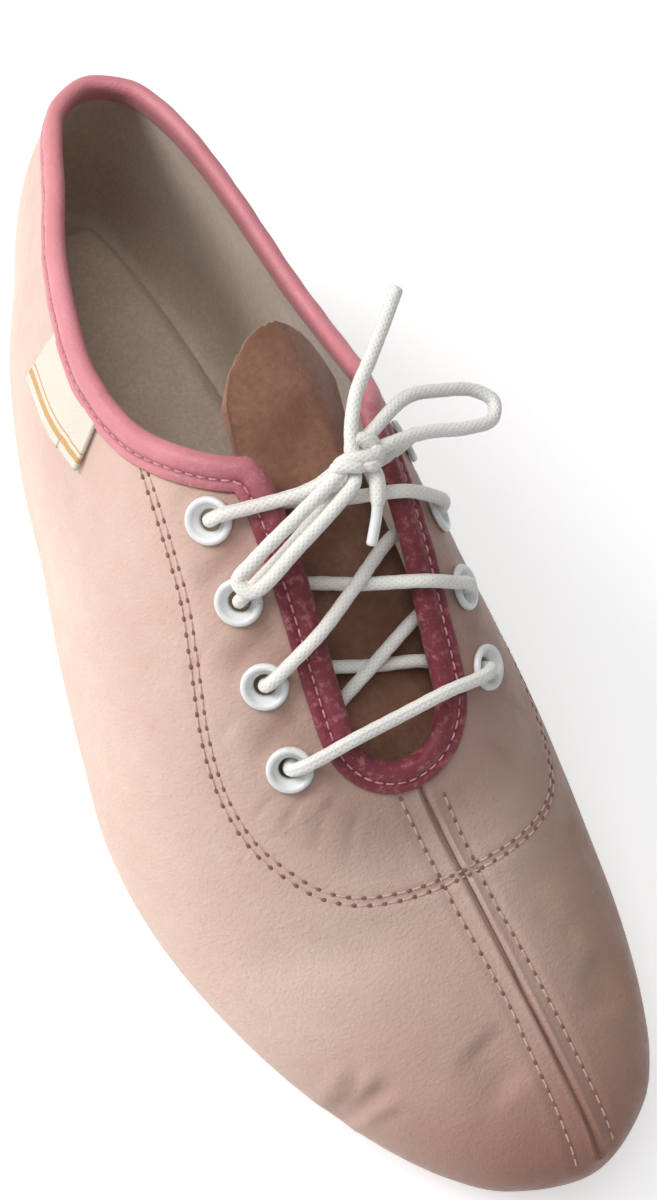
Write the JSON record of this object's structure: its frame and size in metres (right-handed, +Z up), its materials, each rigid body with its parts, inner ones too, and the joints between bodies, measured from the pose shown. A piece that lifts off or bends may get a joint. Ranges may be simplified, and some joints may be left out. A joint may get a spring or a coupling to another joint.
{
  "type": "jazz shoe",
  "caption": "Soft leather lace-up dance shoe with a low heel, a bound collar and throat, and a bow, standing empty on its sole.",
  "frame": {"origin": "on the floor under the middle of the heel, 36 mm in front of the back of the heel", "axes": "+Z up, the toe points to -Y, the medial side faces +X"},
  "size_m": [0.0932, 0.242, 0.0936],
  "materials": {
    "pink_leather": "soft matt leather with fine grain",
    "deep_pink_binding": "thin soft leather strip, matt",
    "mauve_leather": "napped, matt",
    "pale_lining": "plain woven cloth",
    "brown_suede": "napped split leather",
    "white_ribbon": "woven ribbon",
    "white_enamel": "white paint, satin",
    "white_cotton": "round braided cotton"
  },
  "bodies": {
    "root": {"upper": "pink_leather", "binding": "deep_pink_binding", "tongue": "mauve_leather", "insole": "pale_lining", "outsole": "brown_suede", "side_tag": "white_ribbon", "eyelet_lateral_1": "white_enamel", "eyelet_lateral_2": "white_enamel", "eyelet_lateral_3": "white_enamel", "eyelet_lateral_4": "white_enamel", "eyelet_medial_1": "white_enamel", "eyelet_medial_2": "white_enamel", "eyelet_medial_3": "white_enamel", "eyelet_medial_4": "white_enamel", "lace_bar_end": "white_cotton", "lace_cross_lower": "white_cotton", "lace_cross_middle": "white_cotton", "lace_cross_upper": "white_cotton", "lace_knot": "white_cotton", "lace_loop_lateral": "white_cotton", "lace_loop_medial": "white_cotton", "lace_end_up": "white_cotton", "lace_end_down": "white_cotton"}
  },
  "joints": []
}
